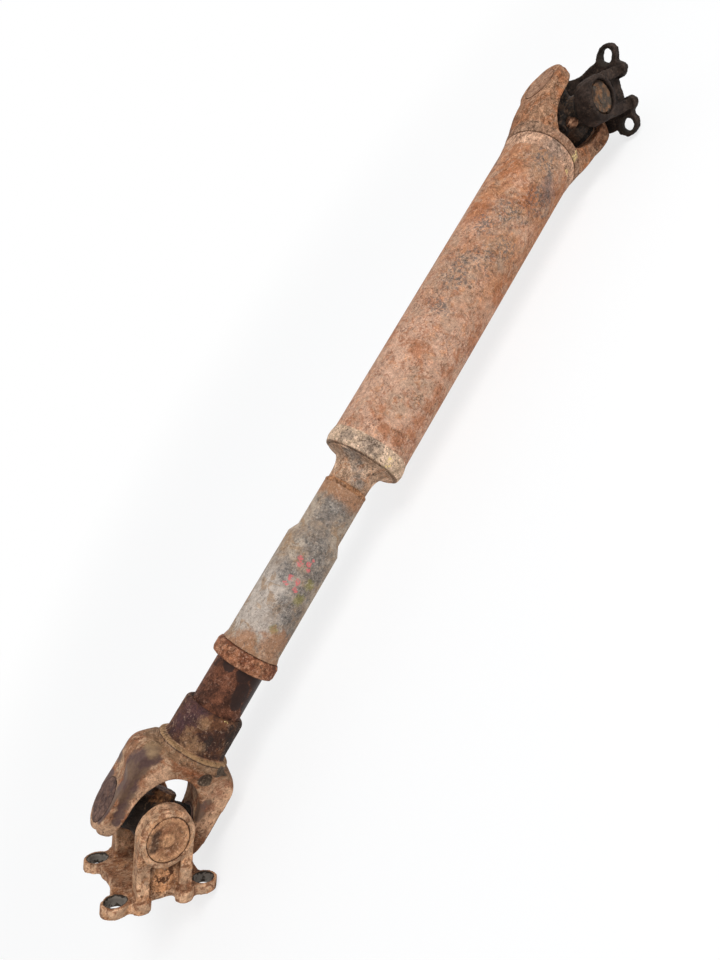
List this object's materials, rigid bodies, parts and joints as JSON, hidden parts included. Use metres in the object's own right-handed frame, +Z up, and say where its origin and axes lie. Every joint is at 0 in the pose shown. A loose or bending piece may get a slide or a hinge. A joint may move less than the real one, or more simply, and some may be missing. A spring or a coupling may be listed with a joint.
{
  "type": "drive shaft",
  "caption": "Tubular drive shaft with a sliding spline and a universal joint with a bolted flange yoke at each end.",
  "frame": {"origin": "bottom centre of the bounding box, on the surface it lies on", "axes": "+X along the shaft towards the end with the wide tube; +Z up, along the fork pivots of both universal joints; +Y across"},
  "size_m": [0.785, 0.0952, 0.0977],
  "materials": {
    "tube_steel": "rusted rolled steel",
    "forged_iron": "rusted forging",
    "forged_steel": "greasy dark forging",
    "machined_steel": "weathered machined steel",
    "cup_steel": "weathered bearing cup",
    "bright_steel": "ground",
    "spring_steel": "dark spring steel",
    "nipple_steel": "rusted",
    "weld_metal": "rusted weld",
    "seal_rubber": "matte",
    "seal_felt": "felt"
  },
  "bodies": {
    "tube": {"main_tube": "tube_steel", "tube_yoke": "forged_iron", "yoke_weld": "weld_metal", "tube_end_weld": "weld_metal", "spline_neck": "machined_steel", "neck_weld": "weld_metal", "spline_sleeve": "machined_steel", "sleeve_nipple": "nipple_steel", "dust_cap": "tube_steel", "dust_seal": "seal_felt", "upper_fork_cup_top": "cup_steel", "upper_fork_cup_bottom": "cup_steel", "upper_fork_snap_rings": "spring_steel", "upper_fork_needles": "bright_steel"},
    "slip_yoke": {"slip_yoke": "forged_iron", "slip_shaft": "machined_steel", "lower_fork_cup_top": "cup_steel", "lower_fork_cup_bottom": "cup_steel", "lower_fork_snap_rings": "spring_steel", "lower_fork_needles": "bright_steel"},
    "lower_cross": {"lower_cross": "forged_steel", "lower_trunnion_seals": "seal_rubber", "lower_grease_nipple": "nipple_steel"},
    "lower_flange_yoke": {"lower_flange_yoke": "forged_iron", "lower_flange_cup_front": "cup_steel", "lower_flange_cup_back": "cup_steel", "lower_flange_snap_rings": "spring_steel", "lower_flange_needles": "bright_steel"},
    "upper_cross": {"upper_cross": "forged_steel", "upper_trunnion_seals": "seal_rubber", "upper_grease_nipple": "nipple_steel"},
    "upper_flange_yoke": {"upper_flange_yoke": "forged_iron", "upper_flange_cup_front": "cup_steel", "upper_flange_cup_back": "cup_steel", "upper_flange_snap_rings": "spring_steel", "upper_flange_needles": "bright_steel"}
  },
  "joints": [
    {"name": "slip_slide", "type": "slide", "parent": "tube", "child": "slip_yoke", "axis": [1, 0, 0], "range_m": [-0.02, 0.03]},
    {"name": "lower_fork_pivot", "type": "hinge", "parent": "slip_yoke", "child": "lower_cross", "pos_m": [-0.33197, 0.0007, 0.05473], "axis": [0, 0, 1], "range_deg": [-28, 12]},
    {"name": "lower_flange_pivot", "type": "hinge", "parent": "lower_cross", "child": "lower_flange_yoke", "pos_m": [-0.33197, 0.0007, 0.05473], "axis": [0.1392, -0.9903, 0], "range_deg": [-56.5, 1.5]},
    {"name": "upper_fork_pivot", "type": "hinge", "parent": "tube", "child": "upper_cross", "pos_m": [0.33283, 0.0007, 0.05473], "axis": [0, 0, 1], "range_deg": [-26, 14]},
    {"name": "upper_flange_pivot", "type": "hinge", "parent": "upper_cross", "child": "upper_flange_yoke", "pos_m": [0.33283, 0.0007, 0.05473], "axis": [-0.1045, 0.9945, 0], "range_deg": [-56.5, 1.5]}
  ]
}
